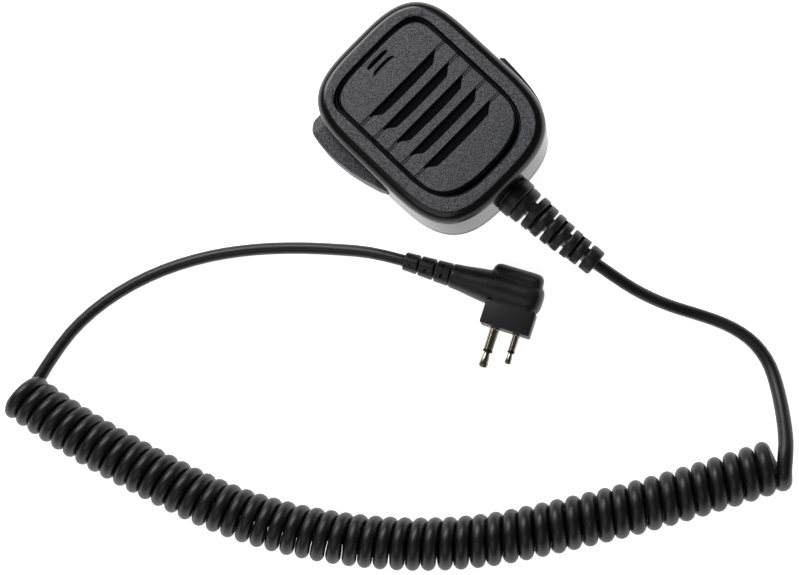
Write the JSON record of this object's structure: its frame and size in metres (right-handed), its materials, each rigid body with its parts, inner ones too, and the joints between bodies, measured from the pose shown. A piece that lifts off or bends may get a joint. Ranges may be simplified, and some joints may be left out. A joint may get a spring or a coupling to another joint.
{
  "type": "hand microphone",
  "caption": "Handheld speaker microphone with slotted grille, side talk button, rear clip, curly cord and right-angle two-pin plug.",
  "frame": {"origin": "on the surface the head lies on, at the middle of the head's outline", "axes": "+Y towards the head's top, opposite the cord; +Z out of the speaker face; +X towards the earpiece socket"},
  "size_m": [0.2145, 0.2239, 0.037],
  "materials": {
    "textured_abs": "spark-eroded black ABS",
    "grille_abs": "spark-eroded black ABS",
    "button_rubber": "moulded silicone key, fine grain",
    "cover_rubber": "soft moulded rubber",
    "seal_rubber": "moulded rubber",
    "boot_pvc": "overmoulded PVC, satin",
    "plug_pvc": "overmoulded PVC, satin",
    "plug_nylon": "moulded nylon",
    "cord_jacket": "polyurethane jacket, satin",
    "zinc_steel": "zinc plated",
    "pressed_steel": "pressed and plated",
    "magnet": "nickel plated pot",
    "cone_film": "thermoformed film",
    "copper_wire": "enamelled copper winding",
    "dust_cloth": "woven acoustic cloth",
    "board": "solder-masked glass epoxy",
    "switch_plastic": "moulded nylon",
    "capsule_can": "drawn can",
    "pin_insulator": "moulded acetal ring",
    "pin_nickel": "turned brass, nickel plated"
  },
  "bodies": {
    "head": {"board_screws": "zinc_steel", "circuit_board": "board", "clamp_screws": "zinc_steel", "clip_nut": "zinc_steel", "clip_screw": "zinc_steel", "clip_stud": "textured_abs", "cord_boot": "boot_pvc", "cord_clamp": "pressed_steel", "cord_coil": "cord_jacket", "cord_inner_end": "cord_jacket", "cord_tail_head": "cord_jacket", "cord_tail_plug": "cord_jacket", "dust_cloth": "dust_cloth", "earpiece_socket": "switch_plastic", "front_housing": "textured_abs", "grille_panel": "grille_abs", "housing_screws": "zinc_steel", "housing_seal": "seal_rubber", "mic_capsule": "capsule_can", "mic_holder": "seal_rubber", "mic_pin_insulator": "pin_insulator", "mic_pin_sleeve": "pin_nickel", "mic_pin_tip": "pin_nickel", "plug_block": "plug_nylon", "plug_body": "plug_pvc", "plug_relief": "boot_pvc", "rear_cover": "textured_abs", "speaker_cone": "cone_film", "speaker_frame": "pressed_steel", "speaker_gasket": "seal_rubber", "speaker_magnet": "magnet", "speaker_pin_insulator": "pin_insulator", "speaker_pin_sleeve": "pin_nickel", "speaker_pin_tip": "pin_nickel", "talk_switch": "switch_plastic", "voice_coil": "copper_wire"},
    "talk_key": {"talk_button": "button_rubber", "switch_plunger": "switch_plastic"},
    "cover": {"socket_cover": "cover_rubber"},
    "clip_turn": {"clip_base": "textured_abs", "clip_pin": "zinc_steel", "clip_spring": "zinc_steel"},
    "clip_jaw": {"clip_plate": "textured_abs"}
  },
  "joints": [
    {"name": "talk_press", "type": "slide", "parent": "head", "child": "talk_key", "axis": [1, 0, 0], "range_m": [0, 0.0012], "stiffness_N_per_m": 1500, "springref_m": -0.001},
    {"name": "socket_cover_hinge", "type": "hinge", "parent": "head", "child": "cover", "pos_m": [0.03135, -0.0247, 0.024], "axis": [0, 0, -1], "range_deg": [0, 100]},
    {"name": "clip_swivel", "type": "hinge", "parent": "head", "child": "clip_turn", "pos_m": [0.00115, 0.006, 0.0086], "axis": [0, 0, 1], "continuous": true},
    {"name": "clip_jaw_hinge", "type": "hinge", "parent": "clip_turn", "child": "clip_jaw", "pos_m": [0.00115, 0.015, 0.0046], "axis": [1, 0, 0], "range_deg": [0, 14], "stiffness_Nm_per_rad": 0.3, "springref_deg": -22.92}
  ]
}
